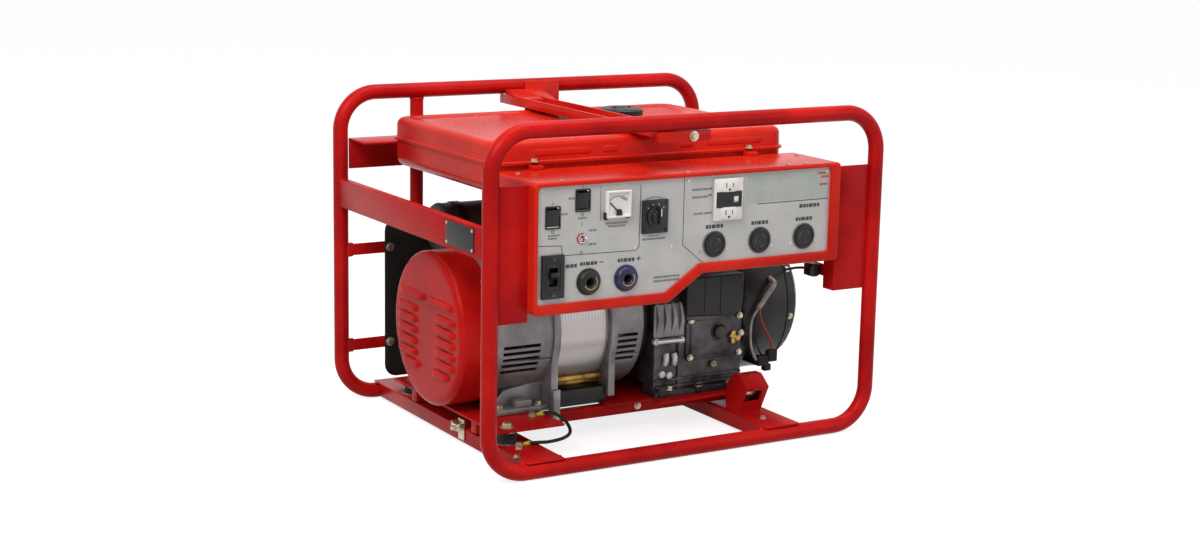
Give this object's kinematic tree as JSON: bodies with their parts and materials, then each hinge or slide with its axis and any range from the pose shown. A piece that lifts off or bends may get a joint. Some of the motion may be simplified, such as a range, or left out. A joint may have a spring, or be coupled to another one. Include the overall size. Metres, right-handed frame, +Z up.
{
  "type": "engine driven welder",
  "caption": "Portable engine driven welder: tube roll cage, fuel tank on top, stepped front control console, and a generator and engine on one shaft line over rubber mounts.",
  "frame": {"origin": "on the ground, midway between the ends of the cage and between its front and back hoops", "axes": "+X along the machine from the generator to the engine, +Y from the console towards the back, +Z up"},
  "size_m": [0.735, 0.5983, 0.5476],
  "materials": {
    "red_paint": "gloss paint",
    "black_paint": "satin paint",
    "grey_paint": "satin paint",
    "cast_aluminium": "as cast",
    "bright_aluminium": "turned",
    "steel": "machined",
    "copper_varnish": "varnished",
    "black_plastic": "moulded",
    "blue_black_plastic": "moulded",
    "white_plastic": "moulded",
    "rubber": "moulded",
    "zinc": "yellow zinc plate"
  },
  "bodies": {
    "machine": {"front_hoop": "red_paint", "back_hoop": "red_paint", "left_cross_member": "red_paint", "right_cross_member": "red_paint", "left_mid_rail": "red_paint", "back_upper_rail": "red_paint", "back_post": "red_paint", "shield_arm_upper": "red_paint", "shield_arm_lower": "red_paint", "bed_frame": "red_paint", "lifting_bar": "red_paint", "fuel_tank_upper": "red_paint", "fuel_tank_lower": "red_paint", "console_box": "red_paint", "console_right_plate": "red_paint", "generator_end_cover": "red_paint", "heat_shield": "black_paint", "fan_housing": "black_paint", "recoil_cover": "black_paint", "muffler": "black_paint", "face_plate": "grey_paint", "generator_rear_bracket": "cast_aluminium", "generator_front_bracket": "cast_aluminium", "crankcase": "cast_aluminium", "cylinder": "cast_aluminium", "carburettor": "cast_aluminium", "stator_core": "bright_aluminium", "stator_windings": "copper_varnish", "main_breaker": "black_plastic", "selector_switch": "black_plastic", "weld_socket_left": "black_plastic", "receptacle_left": "black_plastic", "receptacle_middle": "black_plastic", "receptacle_right": "black_plastic", "starter_rope": "black_plastic", "air_cleaner": "black_plastic", "weld_socket_right": "blue_black_plastic", "voltmeter": "white_plastic", "duplex_outlet": "white_plastic", "mount_left_front": "rubber", "mount_left_rear": "rubber", "mount_right_front": "rubber", "mount_right_rear": "rubber", "bond_wire": "rubber", "earth_terminal": "zinc"},
    "rotating_set": {"rotor": "steel", "crankshaft": "steel", "flywheel": "cast_aluminium"},
    "fuel_cap": {"fuel_cap": "black_plastic"},
    "rocker_left": {"rocker_left": "black_plastic"},
    "rocker_right": {"rocker_right": "black_plastic"},
    "toggle_lever": {"toggle_lever": "steel"},
    "breaker_handle": {"breaker_handle": "black_plastic"},
    "meter_needle": {"meter_needle": "black_plastic"},
    "selector_knob": {"selector_knob": "black_plastic"},
    "reset_button": {"reset_button": "white_plastic"},
    "starter_grip": {"starter_grip": "black_plastic"},
    "choke_lever": {"choke_lever": "steel"},
    "oil_filler_cap": {"oil_filler_cap": "black_plastic"},
    "earth_wing_nut": {"earth_wing_nut": "zinc"}
  },
  "joints": [
    {"name": "engine_spin", "type": "hinge", "parent": "machine", "child": "rotating_set", "pos_m": [0, 0, 0.183], "axis": [1, 0, 0], "continuous": true},
    {"name": "fuel_cap_lift", "type": "slide", "parent": "machine", "child": "fuel_cap", "axis": [0, 0, 1], "range_m": [0, 0.06]},
    {"name": "rocker_left_tilt", "type": "hinge", "parent": "machine", "child": "rocker_left", "pos_m": [-0.2591, -0.287, 0.405], "axis": [-1, 0, 0], "range_deg": [0, 16]},
    {"name": "rocker_right_tilt", "type": "hinge", "parent": "machine", "child": "rocker_right", "pos_m": [-0.2081, -0.287, 0.428], "axis": [-1, 0, 0], "range_deg": [0, 16]},
    {"name": "toggle_tilt", "type": "hinge", "parent": "machine", "child": "toggle_lever", "pos_m": [-0.2091, -0.289, 0.37], "axis": [1, 0, 0], "range_deg": [0, 24]},
    {"name": "breaker_tilt", "type": "hinge", "parent": "machine", "child": "breaker_handle", "pos_m": [-0.2596, -0.2895, 0.316], "axis": [1, 0, 0], "range_deg": [0, 44]},
    {"name": "meter_swing", "type": "hinge", "parent": "machine", "child": "meter_needle", "pos_m": [-0.1481, -0.295, 0.407], "axis": [0, 1, 0], "range_deg": [0, 90], "stiffness_Nm_per_rad": 0.0005},
    {"name": "selector_turn", "type": "hinge", "parent": "machine", "child": "selector_knob", "pos_m": [-0.0816, -0.2953, 0.395], "axis": [0, 1, 0], "range_deg": [0, 90]},
    {"name": "reset_press", "type": "slide", "parent": "machine", "child": "reset_button", "axis": [0, 1, 0], "range_m": [0, 0.0015], "stiffness_N_per_m": 150},
    {"name": "starter_pull", "type": "slide", "parent": "machine", "child": "starter_grip", "axis": [0, -1, 0], "range_m": [0, 0.4]},
    {"name": "choke_swing", "type": "hinge", "parent": "machine", "child": "choke_lever", "pos_m": [0.2153, 0.11, 0.306], "axis": [1, 0, 0], "range_deg": [-15, 15]},
    {"name": "oil_cap_turn", "type": "hinge", "parent": "machine", "child": "oil_filler_cap", "pos_m": [0.154, -0.1223, 0.157], "axis": [0, -1, 0], "range_deg": [0, 180]},
    {"name": "wing_nut_turn", "type": "hinge", "parent": "machine", "child": "earth_wing_nut", "pos_m": [-0.2941, -0.062, 0.031], "axis": [-1, 0, 0], "continuous": true}
  ]
}
